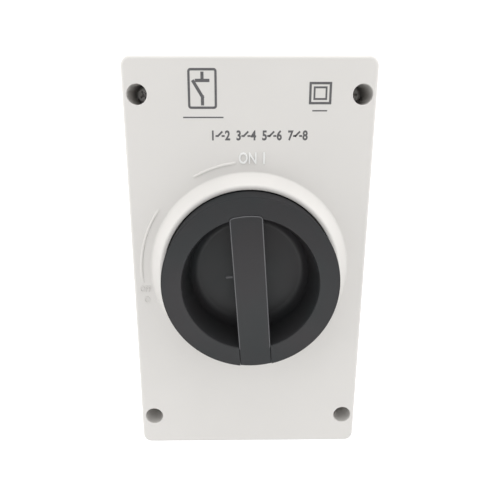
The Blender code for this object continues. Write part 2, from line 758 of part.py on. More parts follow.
# ---------------------------------------------------------------- knob and lever
def rounded_corner(before, corner, after, radius, steps=4):
    """Points of the arc that rounds a profile's corner."""
    back = (Vector(before) - Vector(corner)).normalized()
    ahead = (Vector(after) - Vector(corner)).normalized()
    half = back.angle(ahead) / 2
    start = Vector(corner) + back * (radius / math.tan(half))
    centre = Vector(corner) + (back + ahead).normalized() * (radius / math.sin(half))
    first = math.atan2(*(start - centre).yx)
    turn = math.pi - 2 * half
    angles = [first + turn * step / steps for step in range(steps + 1)]
    return [(centre.x + radius * math.cos(angle), centre.y + radius * math.sin(angle)) for angle in angles]


def make_knob_body():
    middle, rim = (0.0, DISH_FLOOR), (DISH_R, KNOB_FACE)
    profile = [
        middle,
        *rounded_corner(middle, (DISH_FLOOR_R, DISH_FLOOR), rim, DISH_FILLET),
        (DISH_R - 0.0001, KNOB_FACE - RIM_EDGE),
        (DISH_R + 0.0003, KNOB_FACE),
        (KNOB_R - RIM_EDGE, KNOB_FACE),
        (KNOB_R, KNOB_FACE - RIM_EDGE),
        (KNOB_R, KNOB_BACK),
        (KNOB_R - SKIRT, KNOB_BACK),
        (KNOB_R - SKIRT, KNOB_FACE - SKIRT),
        (HOLLOW_FRONT_R, KNOB_FACE - SKIRT),
        (HOLLOW_BACK_R, KNOB_BACK),
        (KNOB_HUB_R, KNOB_BACK),
        (KNOB_HUB_R, HUB_END + GAP),
        (0.0, HUB_END + GAP),
    ]
    knob = turned("knob_body", profile, 48, closed=False)
    finish(knob, "knob_plastic", KNOB_AXIS)
    half = BAR_W / 2
    low, high = (-half, -PEDESTAL_REACH, DISH_FLOOR - 0.001), (half, PEDESTAL_REACH, PEDESTAL_TOP)
    boolean(knob, box("knob_pedestal", low, high, CUTTERS), "UNION")
    low, high = (-BLOCK_W / 2, BLOCK_LOW_Y, KNOB_BACK + 0.004), (BLOCK_W / 2, BLOCK_HIGH_Y, KNOB_FACE - 0.001)
    boolean(knob, box("knob_bearing_block", low, high, CUTTERS), "UNION")
    cut_lever_room(knob, half + GAP)
    cut_shaft_and_screw_room(knob)


def cut_lever_room(knob, half):
    """The slot that the lever lies in, room for its tail to swing, and the pin's hole."""
    over = KNOB_FACE + OVERRUN
    outline = lever_outline(half, LEVER_TIP_R + GAP, KNOB_R + OVERRUN)
    boolean(knob, prism("knob_lever_slot", outline, PEDESTAL_TOP, over, CUTTERS))
    low, high = (-half, -KNOB_R - OVERRUN, TAIL_ROOM_BACK), (half, TAIL_ROOM_Y, over)
    boolean(knob, box("knob_tail_room", low, high, CUTTERS))
    reach = PIN_L / 2 + 2 * GAP
    drill(knob, "knob_pin_hole", PIN_R + GAP, -reach, reach, (PIVOT_Y, PIVOT_DEPTH), 12, "x")


def cut_shaft_and_screw_room(knob):
    bore = SHAFT_SIDE / 2 + GAP
    low, high = (-bore, -bore, HUB_END - OVERRUN), (bore, bore, SHAFT_FRONT + GAP)
    boolean(knob, box("knob_shaft_bore", low, high, CUTTERS))
    over = PEDESTAL_TOP + OVERRUN
    drill(knob, "knob_screw_hole", KNOB_SCREW_R + 0.0004, SHAFT_FRONT - 0.002, over)
    drill(knob, "knob_screw_seat", KNOB_SCREW_SEAT_R, DISH_FLOOR + 0.0039, over, segments=16)


def lever_outline(half, tip_r, tail_r, arc_steps=6):
    """A bar across the knob whose two ends are arcs about the knob's centre."""
    outline = []
    for radius, middle in ((tip_r, math.pi / 2), (tail_r, -math.pi / 2)):
        spread = math.asin(half / radius)
        for step in range(arc_steps + 1):
            angle = middle - spread + 2 * spread * step / arc_steps
            outline.append((radius * math.cos(angle), radius * math.sin(angle)))
    return outline


def make_padlock_lever():
    """The grip bar: it lies flush in the knob and tilts out on its pin to take a padlock's shackle."""
    outline = lever_outline(BAR_W / 2, LEVER_TIP_R, LEVER_TAIL_R)
    lever = prism("padlock_lever", outline, LEVER_BACK, KNOB_FACE)
    lever.data.transform(Matrix.Translation((0.0, -PIVOT_Y, -PIVOT_DEPTH)))
    finish(lever, "knob_plastic", LEVER_AXIS)
    rise = PADLOCK_Y - PIVOT_Y
    drill(lever, "lever_padlock_hole", PADLOCK_R, -OVERRUN, OVERRUN, (rise, 0.0001), 20, "x")
    drill(lever, "lever_pin_hole", PIN_R + GAP, -OVERRUN, OVERRUN, axis="x")
    half_w, half_h = SPRING_ROOM_W / 2, SPRING_ROOM_H / 2
    low, high = (-half_w, -half_h, -2 * half_h), (half_w, half_h, half_h + 0.0001)
    boolean(lever, box("lever_spring_room", low, high, CUTTERS))


def make_lever_pin():
    pin = cylinder("lever_pin", PIN_R, -PIN_L / 2, PIN_L / 2, axis="x", segments=12)
    finish(pin, "steel", LEVER_PIN_FRAME)
    radius, wire, half_l, turns = 0.0021, 0.0004, 0.0022, 3.5
    spring = coil("lever_spring", radius, wire, -half_l, half_l, turns, 10)
    finish(spring, "steel", LEVER_PIN_FRAME, smooth=False)
    spring.rotation_euler = (0.0, math.pi / 2, 0.0)


# ---------------------------------------------------------------- assembly
def main():
    make_base_box()
    make_front_cover()
    make_cover_gasket()
    make_cover_screws()
    make_entry_plugs()
    make_rail()
    make_foot()
    make_rail_clip()
    for deck in range(DECKS):
        make_pole_housing(deck)
        make_fixed_contacts(deck)
        make_moving_contact(deck)
    make_contact_shaft()
    make_mechanism()
    make_drive_shaft()
    make_cam_and_spring()
    make_shaft_seal()
    make_knob_body()
    make_padlock_lever()
    make_lever_pin()


clear_scene()
PARTS = new_collection("rotary_isolator_switch")
CUTTERS = new_collection("cutters")
WALL_FRAME = new_empty("wall_frame", (0.0, 0.0, 0.0))
WALL_FRAME.rotation_euler = (math.pi / 2, 0.0, 0.0)
CONTACT_AXIS = new_empty("contact_axis", (0.0, 0.0, 0.0), WALL_FRAME)
KNOB_AXIS = new_empty("knob_axis", (0.0, 0.0, 0.0), WALL_FRAME)
KNOB_AXIS.rotation_euler = (0.0, 0.0, REST_LEAN)
LEVER_AXIS = new_empty("lever_axis", (0.0, PIVOT_Y, PIVOT_DEPTH), KNOB_AXIS)
LEVER_PIN_FRAME = new_empty("lever_pin_frame", (0.0, PIVOT_Y, PIVOT_DEPTH), KNOB_AXIS)
main()
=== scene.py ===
"""Looks of the rotary isolator switch: moulded shells, glossy knob, printed symbols, materials, light.

Shapes are made in the wall frame (x right, y up, z out of the wall, called depth) and then turned
into the row frame, where they sit at the origin as the CAD nodes do. Units are metres.
"""

import json
import math

import bmesh
import bpy
from mathutils import Matrix, Vector


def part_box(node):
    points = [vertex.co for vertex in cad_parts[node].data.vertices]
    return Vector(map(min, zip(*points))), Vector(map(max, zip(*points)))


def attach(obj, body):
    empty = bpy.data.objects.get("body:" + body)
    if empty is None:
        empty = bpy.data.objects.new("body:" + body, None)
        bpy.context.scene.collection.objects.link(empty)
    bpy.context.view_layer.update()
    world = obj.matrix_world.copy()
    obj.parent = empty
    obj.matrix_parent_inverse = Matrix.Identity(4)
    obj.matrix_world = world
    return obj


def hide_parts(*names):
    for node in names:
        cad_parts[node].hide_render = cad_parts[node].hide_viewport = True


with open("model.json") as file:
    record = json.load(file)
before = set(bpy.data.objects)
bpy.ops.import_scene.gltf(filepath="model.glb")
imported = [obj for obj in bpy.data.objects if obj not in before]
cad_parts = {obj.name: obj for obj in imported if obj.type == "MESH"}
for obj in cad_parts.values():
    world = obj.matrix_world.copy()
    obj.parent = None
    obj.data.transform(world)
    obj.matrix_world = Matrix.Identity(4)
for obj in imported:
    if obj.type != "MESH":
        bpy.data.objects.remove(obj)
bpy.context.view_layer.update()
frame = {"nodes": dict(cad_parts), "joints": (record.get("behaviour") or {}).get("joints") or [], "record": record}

# ---------------------------------------------------------------- sizes read from the frame
BASE_LOW, BASE_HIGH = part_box("base_box")
COVER_LOW, COVER_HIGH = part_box("front_cover")
KNOB_LOW, KNOB_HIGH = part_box("knob_body")
PLUG_LOW, PLUG_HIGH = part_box("entry_plug_1")
SCREW_LOW, SCREW_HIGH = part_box("cover_screw_3")
JOINTS = {joint["name"]: joint for joint in frame["joints"]}
TILT = JOINTS["padlock_lever_tilt"]

BASE_W = BASE_HIGH.x - BASE_LOW.x
BASE_H = BASE_HIGH.z - BASE_LOW.z
BASE_DEPTH = -BASE_LOW.y
COVER_BACK = -COVER_HIGH.y
COLLAR_TOP = -COVER_LOW.y
KNOB_R = KNOB_HIGH.x
KNOB_FACE = -KNOB_LOW.y
KNOB_END = -KNOB_HIGH.y
REST_LEAN = math.atan2(TILT["axis"][2], TILT["axis"][0])
PIVOT_Y = -math.hypot(TILT["pos_m"][0], TILT["pos_m"][2])
PIVOT_DEPTH = -TILT["pos_m"][1]
SCREW_X = (SCREW_LOW.x + SCREW_HIGH.x) / 2
SCREW_Y = (SCREW_LOW.z + SCREW_HIGH.z) / 2
SCREW_HEAD_TOP = -SCREW_LOW.y
SCREW_TIP = -SCREW_HIGH.y
PLUG_DEPTH = -(PLUG_LOW.y + PLUG_HIGH.y) / 2
PLUG_R = (PLUG_HIGH.x - PLUG_LOW.x) / 2

# ---------------------------------------------------------------- sizes of the moulded detail
ROUND = 128  # segments of a large turned shape
FINE = 48  # segments of a small one

# Enclosure
FRONT = 0.066  # depth of the cover's front face
COVER_DRAFT = 0.0001
CORNER_R = 0.004
FRONT_EDGE_R = 0.0014
BACK_EDGE_R = 0.001
SEAM_EDGE = ((0.0, 0.0004), (0.0002, 0.0001), (0.0006, 0.0))  # (distance from the seam, inset)
WALL = 0.0032
BACK_WALL = 0.0026
PLATE = 0.003  # thickness of the cover's front plate
POCKET_W = 0.0126  # corner block that keeps each cover screw outside the seal
POCKET_H = 0.023
WALL_HOLE_R = 0.0026
WALL_HOLE_X = 0.030
WALL_HOLE_Y = 0.070
COUNTERSINK_R = 0.0042
COUNTERSINK_H = 0.0014
POST_X = 0.028  # screw posts of the mounting rail
POST_R = 0.004
POST_END = 0.0057
POST_HOLE_R = 0.0017
POST_HOLE_FLOOR = 0.0012

# Screw wells and screws
WELL_R = 0.0039
WELL_FLOOR = 0.0463
WELL_LIP = 0.00025
WELL_FILLET = 0.0006
WELL_HOLE_R = 0.0025
PILOT_R = 0.0022
PILOT_FLOOR = 0.021
COVER_SCREW_SHANK_R = 0.0019
KNOB_SCREW_SHANK_R = 0.0015
KNOB_SCREW_HEAD_H = 0.0023
CROSS_H = 0.0016  # depth of the cross recess
CROSS_TAPER = 0.45  # its floor over its mouth

# Collar round the knob
COLLAR_BASE_R = 0.0415
COLLAR_TOP_R = 0.0370
RECESS_R = 0.0354
RECESS_FLOOR = 0.064
RECESS_BACK = 0.061
HUB_BORE_R = 0.0104
HUB_R = 0.0122
HUB_END = 0.057
COLLAR_FLARE = 0.0008

# Raised marks: an arc from ON to OFF in two stretches, measured anticlockwise from 12 o'clock
TRAVEL_R = 0.0456
TRAVEL_W = 0.0012
TRAVEL_H = 0.0005
TRAVEL_STRETCHES = ((7, 30), (54, 97))
MARK_ROOT = FRONT - 0.0004  # where raised characters start, just inside the cover
OFF_TOP = FRONT + 0.00025

# Knob
DISH_R = 0.0269
DISH_FLOOR = 0.067
FLOOR_R = 0.0244
FLOOR_FILLET = 0.004
KNOB_BACK = 0.0644
KNOB_HUB_R = 0.0075
SKIRT = 0.0025
HOLLOW_BACK_R = 0.0274
HOLLOW_FRONT_R = 0.0304
BAR_W = 0.0126
BAR_EDGE_R = 0.0004
PEDESTAL_TOP = 0.0746
PEDESTAL_REACH = 0.0257
LEVER_BACK = 0.075
LEVER_TIP_R = 0.0280
LEVER_TAIL_R = 0.0346
LEVER_GAP = 0.0002
LEVER_SIDE_GAP = 0.00008
PIN_R = 0.0012
PADLOCK_R = 0.0036
PADLOCK_Y = 0.015
TIP_CORNER_R = 0.0013
BEARING_HALF_W = 0.0125  # block inside the rim that carries the lever's pin
BEARING_START = -0.0318
BEARING_END = -0.0265
PIN_HALF_L = 0.0106
TAIL_ROOM_H = 0.0016
TAIL_ROOM_START = -0.0262
SPRING_ROOM_W = 0.0056
SPRING_ROOM_HALF = 0.0030
SHAFT_SIDE = 0.006
SHAFT_FRONT = 0.068
SCREW_HOLE_R = 0.0019
SCREW_SEAT_R = 0.0036
SCREW_SEAT_FLOOR = 0.0709
INDEX_CENTRE = (-0.0086, -0.0022)

# Cable entries
ENTRY_R = 0.0102
ENTRY_SEAT = 0.0012
PLUG_HEAD_H = 0.0014
PLUG_THREAD_L = 0.008
PLUG_WALL = 0.0017

# Printed symbols
INK_H = 0.00004
INK_LINE = 0.0005
INSULATION_CENTRE = (0.02715, 0.07205)
DISCONNECTOR_CENTRE = (-0.0184, 0.0737)
DIAGRAM_Y = 0.0559
DIAGRAM_LEFT = -0.0154
DIAGRAM_PITCH = 0.0102
ON_Y = 0.0470

GAP = 0.0003  # clearance between touching pieces, and the size of a small chamfer
OVERRUN = 0.01  # how far a cutter runs past what it cuts
CORNERS = [(sx, sy) for sx in (-1, 1) for sy in (1, -1)]
TO_ROW = Matrix.Rotation(math.pi / 2, 4, "X")
LEAN = Matrix.Rotation(REST_LEAN, 4, "Z")


# ---------------------------------------------------------------- outlines
def filleted(corners, steps=5, closed=True):
    """Points of an outline or profile given as (x, y, radius), with each corner's arc worked out."""
    points = []
    for index, (x, y, radius) in enumerate(corners):
        corner = Vector((x, y))
        end = not closed and index in (0, len(corners) - 1)
        if radius == 0 or end:
            points.append(tuple(corner))
            continue
        before = (Vector(corners[index - 1][:2]) - corner).normalized()
        after = (Vector(corners[(index + 1) % len(corners)][:2]) - corner).normalized()
        half = before.angle(after) / 2
        start = corner + before * (radius / math.tan(half))
        finish = corner + after * (radius / math.tan(half))
        centre = corner + (before + after).normalized() * (radius / math.sin(half))
        first = math.atan2(*(start - centre).yx)
        turn = math.atan2(*(finish - centre).yx) - first
        turn = (turn + math.pi) % (2 * math.pi) - math.pi
        for step in range(steps + 1):
            angle = first + turn * step / steps
            points.append((centre.x + radius * math.cos(angle), centre.y + radius * math.sin(angle)))
    return points


def rectangle(width, height, radius=0.0, centre=(0.0, 0.0), steps=5):
    """A rectangle's outline, anticlockwise, with rounded corners."""
    x, y = width / 2, height / 2
    corners = [
        (centre[0] + sx * x, centre[1] + sy * y, radius)
        for sx, sy in ((1, 1), (-1, 1), (-1, -1), (1, -1))
    ]
    return filleted(corners, steps)


def circle(radius, centre=(0.0, 0.0), segments=FINE):
    """A circle's outline, anticlockwise."""
    return [
        (
            centre[0] + radius * math.cos(2 * math.pi * step / segments),
            centre[1] + radius * math.sin(2 * math.pi * step / segments),
        )
        for step in range(segments)
    ]


def inset(outline, distance):
    """An anticlockwise outline moved inwards by a distance."""
    moved = []
    for index, point in enumerate(outline):
        here = Vector(point)
        back = (here - Vector(outline[index - 1])).normalized()
        ahead = (Vector(outline[(index + 1) % len(outline)]) - here).normalized()
        inward = Vector((-back.y - ahead.y, back.x + ahead.x)).normalized()
        reach = distance / max(0.3, inward.dot(Vector((-back.y, back.x))))
        moved.append(tuple(here + inward * reach))
    return moved


def edge_arc(depth, start_inset, radius, rising=True, steps=5):
    """Stations (depth, inset) that round the edge at a prism's front (rising) or back."""
    stations = []
    for step in range(steps + 1):
        angle = math.pi / 2 * step / steps
        sine, cosine = radius * math.sin(angle), radius * math.cos(angle)
        if rising:
            stations.append((depth - radius + sine, start_inset + radius - cosine))
        else:
            stations.append((depth + radius - cosine, start_inset + radius - sine))
    return stations


def cavity_outline():
    """The sealed room: a rectangle with a screw block left standing in each corner."""
    x, y = BASE_W / 2 - WALL, BASE_H / 2 - WALL
    px, py = BASE_W / 2 - POCKET_W, BASE_H / 2 - POCKET_H
    return [
        (px, y), (-px, y), (-px, py), (-x, py), (-x, -py), (-px, -py),
        (-px, -y), (px, -y), (px, -py), (x, -py), (x, py), (px, py),
    ]  # fmt: skip


# ---------------------------------------------------------------- solids
def new_object(name, bm):
    """Turns a finished bmesh into a scene object with its faces pointing outwards."""
    bmesh.ops.recalc_face_normals(bm, faces=bm.faces)
    mesh = bpy.data.meshes.new(name)
    bm.to_mesh(mesh)
    bm.free()
    obj = bpy.data.objects.new(name, mesh)
    bpy.context.scene.collection.objects.link(obj)
    return obj


def loft(name, sections):
    """A closed skin through rings of points with equal counts, with a cap at each end."""
    bm = bmesh.new()
    rings = [[bm.verts.new(point) for point in section] for section in sections]
    for lower, upper in zip(rings, rings[1:]):
        for index in range(len(lower)):
            following = (index + 1) % len(lower)
            bm.faces.new((lower[index], lower[following], upper[following], upper[index]))
    bm.faces.new(rings[0])
    bm.faces.new(rings[-1])
    return new_object(name, bm)


def slab(name, outline, stations):
    """A flat outline drawn out in depth through stations (depth, inset)."""
    sections = []
    for depth, distance in stations:
        ring = inset(outline, distance) if distance else outline
        sections.append([(x, y, depth) for x, y in ring])
    return loft(name, sections)


def prism(name, outline, start, end):
    """A flat outline drawn straight out from one depth to another."""
    return slab(name, outline, [(start, 0.0), (end, 0.0)])


def lathe(name, profile, segments=ROUND):
    """A solid turned about z from a (radius, depth) profile; one that leaves the axis is a ring."""
    bm = bmesh.new()
    rings = []
    for radius, depth in profile:
        if radius < 1e-7:
            rings.append([bm.verts.new((0.0, 0.0, depth))])
            continue
        rings.append([bm.verts.new((x, y, depth)) for x, y in circle(radius, segments=segments)])
    pairs = list(zip(rings, rings[1:]))
    if len(rings[0]) > 1 and len(rings[-1]) > 1:
        pairs.append((rings[-1], rings[0]))
    for upper, lower in pairs:
        for index in range(segments):
            corners = [
                upper[index % len(upper)], lower[index % len(lower)],
                lower[(index + 1) % len(lower)], upper[(index + 1) % len(upper)],
            ]  # fmt: skip
            bm.faces.new(list(dict.fromkeys(corners)))
    return new_object(name, bm)


def box(name, low, high):
    """A block between two corners (x, y, depth)."""
    x, y = (low[0] + high[0]) / 2, (low[1] + high[1]) / 2
    outline = rectangle(high[0] - low[0], high[1] - low[1], 0.0, (x, y))
    return prism(name, outline, low[2], high[2])


def cross_hole(name, radius, half_length, y, depth):
    """A round cutter that lies along x."""
    obj = prism(name, circle(radius, segments=32), -half_length, half_length)
    obj.data.transform(Matrix.Translation((0.0, y, depth)) @ Matrix.Rotation(math.pi / 2, 4, "Y"))
    return obj


def lettering(name, text, height, centre, width_scale, low, high, weight=0.0, edge=0.0):
    """Characters as a mesh, from Blender's own font, thickened by a weight and with bevelled edges."""
    curve = bpy.data.curves.new(name, "FONT")
    curve.body = text
    curve.align_x = "CENTER"
    curve.align_y = "CENTER"
    cap_share = 0.70  # height of a capital over the font size
    curve.size = height / cap_share
    curve.extrude = (high - low) / 2 - edge
    curve.offset = weight - edge
    curve.bevel_depth = edge
    curve.bevel_resolution = 1
    curve.resolution_u = 3
    flat = bpy.data.objects.new(name, curve)
    bpy.context.scene.collection.objects.link(flat)
    mesh = baked_mesh(flat)
    bpy.data.objects.remove(flat)
    bm = bmesh.new()
    bm.from_mesh(mesh)
    bmesh.ops.remove_doubles(bm, verts=bm.verts, dist=1e-6)
    scale = Matrix.Diagonal((width_scale, 1.0, 1.0, 1.0))
    bmesh.ops.transform(bm, verts=bm.verts, matrix=Matrix.Translation((*centre, (low + high) / 2)) @ scale)
    return new_object(name, bm)


# ---------------------------------------------------------------- joining, cutting, placing
def baked_mesh(obj):
    """A new mesh with the object's modifiers applied."""
    bpy.context.view_layer.update()
    graph = bpy.context.evaluated_depsgraph_get()
    return bpy.data.meshes.new_from_object(obj.evaluated_get(graph))


def bake(obj):
    """Applies the object's modifiers for good."""
    mesh = baked_mesh(obj)
    obj.modifiers.clear()
    obj.data = mesh


def combine(target, tool, operation):
    """Joins the tool to the target or cuts it out, and uses the tool up."""
    modifier = target.modifiers.new("combine", "BOOLEAN")
    modifier.operation = operation
    modifier.solver = "EXACT"
    modifier.object = tool
    bake(target)
    bpy.data.objects.remove(tool)
    return target


def cut(target, tool):
    """Takes the tool's shape out of the target."""
    return combine(target, tool, "DIFFERENCE")


def join(target, tool):
    """Adds the tool's shape to the target."""
    return combine(target, tool, "UNION")


def place(obj, material, body, replaces=None, frame_matrix=None):
    """Turns a finished shape into the row frame, shades it and hands it to its body."""
    obj.data.transform(TO_ROW @ (frame_matrix or Matrix.Identity(4)))
    obj.data.materials.clear()
    obj.data.materials.append(material)
    obj.data.shade_smooth()
    obj.data.set_sharp_from_angle(angle=math.radians(28))
    normals = obj.modifiers.new("weighted_normals", "WEIGHTED_NORMAL")
    normals.keep_sharp = True
    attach(obj, body)
    if replaces:
        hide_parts(replaces)
    return obj


# ---------------------------------------------------------------- materials
def node(tree, kind, inputs=None, **settings):
    """Adds a shader node; an input's value is a plain value or another node's output socket."""
    made = tree.nodes.new(kind)
    for key, value in settings.items():
        setattr(made, key, value)
    for key, value in (inputs or {}).items():
        if isinstance(value, bpy.types.NodeSocket):
            tree.links.new(value, made.inputs[key])
        else:
            made.inputs[key].default_value = value
    return made


def ramp(tree, value, low, high, low_colour, high_colour):
    """Runs from one colour to another between two values."""
    made = node(tree, "ShaderNodeValToRGB", {"Fac": value})
    first, last = made.color_ramp.elements
    first.position, last.position = low, high
    first.color, last.color = (*low_colour, 1.0), (*high_colour, 1.0)
    return made.outputs["Color"]


def spread(tree, value, low, high, start=0.0, end=1.0):
    """Maps a value between start and end onto a range of numbers."""
    sockets = {"Value": value, "From Min": start, "From Max": end, "To Min": low, "To Max": high}
    return node(tree, "ShaderNodeMapRange", sockets).outputs["Result"]


def noise(tree, coordinates, size, detail=2.0, roughness=0.5, stretch=None):
    """Noise whose features are about `size` metres across."""
    vector = coordinates
    if stretch:
        mapping = {"Vector": coordinates, "Scale": stretch}
        vector = node(tree, "ShaderNodeMapping", mapping).outputs["Vector"]
    made = node(
        tree, "ShaderNodeTexNoise",
        {"Vector": vector, "Scale": 1.0 / size, "Detail": detail, "Roughness": roughness},
    )  # fmt: skip
    return made.outputs["Fac"]


def blend_colour(tree, share, first, second):
    """Mixes two colours, where a share of 0 gives the first and 1 gives the second."""
    made = node(tree, "ShaderNodeMix", data_type="RGBA")
    for socket, value in ((0, share), (6, first), (7, second)):
        if isinstance(value, bpy.types.NodeSocket):
            tree.links.new(value, made.inputs[socket])
        else:
            made.inputs[socket].default_value = value
    return made.outputs[2]


def bump(tree, height, distance, strength, base=None):
    """A normal disturbed by a height pattern, on top of a base normal where one is given."""
    inputs = {"Height": height, "Distance": distance, "Strength": strength}
    if base:
        inputs["Normal"] = base
    return node(tree, "ShaderNodeBump", inputs).outputs["Normal"]


def new_material(name):
    """A node material with its tree, its shader and object coordinates."""
    material = bpy.data.materials.new(name)
    material.use_nodes = True
    tree = material.node_tree
    shader = tree.nodes["Principled BSDF"]
    coordinates = node(tree, "ShaderNodeTexCoord").outputs["Object"]
    return material, tree, shader, coordinates


def feed(tree, shader, **sockets):
    """Links or sets the shader's inputs; an underscore in a key stands for a space."""
    for key, value in sockets.items():
        socket = shader.inputs[key.replace("_", " ")]
        if isinstance(value, bpy.types.NodeSocket):
            tree.links.new(value, socket)
        else:
            socket.default_value = value


def moulded_plastic(name, colour, shadow_colour, roughness, grain, grain_depth, occlusion):
    """Satin moulded plastic: cloudy tint, specks, spark-eroded grain, painted shade in nooks and a painted
    highlight on edges.
    """
    material, tree, shader, where = new_material(name)
    cloud = noise(tree, where, 0.035, 3.0)
    tint = ramp(tree, cloud, 0.3, 0.7, [c * 0.985 for c in colour], [min(1.0, c * 1.012) for c in colour])
    specks = node(tree, "ShaderNodeTexVoronoi", {"Vector": where, "Scale": 420.0}, feature="F1")
    speck_share = ramp(tree, specks.outputs["Distance"], 0.02, 0.07, (0.10,) * 3, (0.0,) * 3)
    speckled = blend_colour(tree, speck_share, tint, (*[c * 0.55 for c in colour], 1.0))
    # Painted shade: ambient occlusion darkens the colour toward the shadow colour in wells, creases and recesses.
    shade_probe = node(tree, "ShaderNodeAmbientOcclusion", {"Distance": 0.007}, samples=8)
    painted_shade_share = ramp(tree, shade_probe.outputs["AO"], 0.25, 0.85, (occlusion,) * 3, (0.0,) * 3)
    with_painted_shade = blend_colour(tree, painted_shade_share, speckled, (*shadow_colour, 1.0))
    # Painted highlight: edges, found by comparing the bevel normal with the plain normal, are painted lighter than
    # flat faces.
    rounded = node(tree, "ShaderNodeBevel", {"Radius": 0.0005}, samples=4).outputs["Normal"]
    straight = node(tree, "ShaderNodeNewGeometry").outputs["Normal"]
    flatness = node(tree, "ShaderNodeVectorMath", {0: rounded, 1: straight}, operation="DOT_PRODUCT")
    painted_highlight_share = ramp(tree, flatness.outputs["Value"], 0.80, 0.97, (0.35,) * 3, (0.0,) * 3)
    with_painted_highlight = blend_colour(tree, painted_highlight_share, with_painted_shade, (*[min(1.0, c * 1.06) for c in colour], 1.0))
    smears = noise(tree, where, 0.012, 4.0, 0.6)
    fine = noise(tree, where, grain, 3.0, 0.6)
    waves = noise(tree, where, 0.02, 1.0)
    surface = bump(tree, fine, grain_depth, 0.6)
    surface = bump(tree, waves, 0.00006, 0.5, surface)
    feed(
        tree, shader,
        Base_Color=with_painted_highlight,
        Roughness=spread(tree, smears, roughness - 0.06, roughness + 0.06),
        Normal=surface,
        IOR=1.49,
    )  # fmt: skip
    return material


def gloss_plastic(name, first, second, gloss):
    """Black knob plastic: gloss dulled by handling, faint hairlines, and a matt skirt round the rim."""
    material, tree, shader, where = new_material(name)
    cloud = noise(tree, where, 0.026, 2.0)
    tint = ramp(tree, cloud, 0.35, 0.65, first, second)
    prints = noise(tree, where, 0.010, 4.0, 0.65)
    hairs = noise(tree, where, 0.0008, 2.0, 0.6, stretch=(0.2, 1.0, 1.0))
    dulled = blend_colour(tree, 0.12, prints, hairs)
    gloss_roughness = spread(tree, dulled, 0.26, 0.40)
    across = node(tree, "ShaderNodeVectorMath", {0: where, 1: (1.0, 0.0, 1.0)}, operation="MULTIPLY")
    radius = node(tree, "ShaderNodeVectorMath", {0: across.outputs[0]}, operation="LENGTH").outputs["Value"]
    skirt = spread(tree, radius, 0.0, 1.0, KNOB_R - 0.0004, KNOB_R - 0.0001)
    fine = noise(tree, where, 0.00035, 2.0)
    surface = bump(tree, fine, 0.0000015, 0.5)
    surface = bump(tree, noise(tree, where, 0.016, 1.0), 0.00004, 0.5, surface)
    feed(
        tree, shader,
        Base_Color=tint,
        Roughness=blend_colour(tree, skirt, gloss_roughness, (0.9, 0.9, 0.9, 1.0)),
        Specular_IOR_Level=spread(tree, skirt, gloss, 0.04),
        Normal=surface,
        IOR=1.5,
    )  # fmt: skip
    return material


def filled_plastic(name):
    """Dark glass-filled plastic of the switch body: short pale fibres and a dry, pitted skin."""
    material, tree, shader, where = new_material(name)
    fibres = noise(tree, where, 0.0016, 3.0, 0.8, stretch=(0.2, 1.0, 1.0))
    tint = ramp(tree, fibres, 0.45, 0.75, (0.070, 0.073, 0.078), (0.150, 0.153, 0.158))
    pits = noise(tree, where, 0.0004, 3.0, 0.7)
    feed(
        tree, shader,
        Base_Color=tint,
        Roughness=spread(tree, pits, 0.42, 0.66),
        Normal=bump(tree, pits, 0.00002, 0.7),
    )  # fmt: skip
    return material


def rubber(name):
    """Matt black seal rubber with talc dust."""
    material, tree, shader, where = new_material(name)
    dust = noise(tree, where, 0.0025, 5.0, 0.75)
    tint = ramp(tree, dust, 0.5, 0.8, (0.022, 0.022, 0.023), (0.075, 0.073, 0.070))
    skin = noise(tree, where, 0.0003, 2.0)
    feed(
        tree, shader,
        Base_Color=tint,
        Roughness=spread(tree, dust, 0.68, 0.9),
        Normal=bump(tree, skin, 0.00002, 0.6),
    )  # fmt: skip
    return material


def plated_metal(name, bright, dull, roughness, brush):
    """Metal with drawn lines along one axis and a cloudy plated or tarnished skin."""
    material, tree, shader, where = new_material(name)
    cloud = noise(tree, where, 0.004, 4.0, 0.6)
    lines = noise(tree, where, 0.0005, 2.0, 0.6, stretch=brush)
    tint = ramp(tree, cloud, 0.35, 0.75, bright, dull)
    feed(
        tree, shader,
        Base_Color=tint,
        Metallic=1.0,
        Roughness=spread(tree, blend_colour(tree, 0.5, cloud, lines), roughness - 0.1, roughness + 0.14),
        Normal=bump(tree, lines, 0.000008, 0.6),
    )  # fmt: skip
    return material


def printed_ink(name, thick, thin):
    """Pad-printed ink, thinner in places so that some of the plastic shows through."""
    material, tree, shader, where = new_material(name)
    cover = noise(tree, where, 0.0007, 4.0, 0.7)
    tint = ramp(tree, cover, 0.30, 0.75, thick, thin)
    feed(
        tree, shader,
        Base_Color=tint,
        Roughness=spread(tree, cover, 0.40, 0.60),
        Normal=bump(tree, cover, 0.00001, 0.5),
    )  # fmt: skip
    return material


def stage_paint(name):
    """Pale paper: very slight mottling, a little greyer in front and lit from behind at the back."""
    material, tree, shader, where = new_material(name)
    cloud = noise(tree, where, 0.4, 2.0)
    tint = ramp(tree, cloud, 0.2, 0.8, (0.93, 0.93, 0.93), (0.95, 0.95, 0.95))
    depth = node(tree, "ShaderNodeSeparateXYZ", {"Vector": where}).outputs["Y"]
    behind = ramp(tree, depth, 0.0, 0.25, (0.0,) * 3, (1.0,) * 3)
    paper = blend_colour(tree, behind, (0.60, 0.60, 0.60, 1.0), tint)
    feed(
        tree, shader,
        Base_Color=paper,
        Roughness=0.9,
        Specular_IOR_Level=0.0,
        Emission_Color=tint,
        # The back of the paper glows by its own emission. This is painted light standing in for a lit backdrop.
        Emission_Strength=spread(tree, behind, 0.0, 0.38),
    )  # fmt: skip
    return material


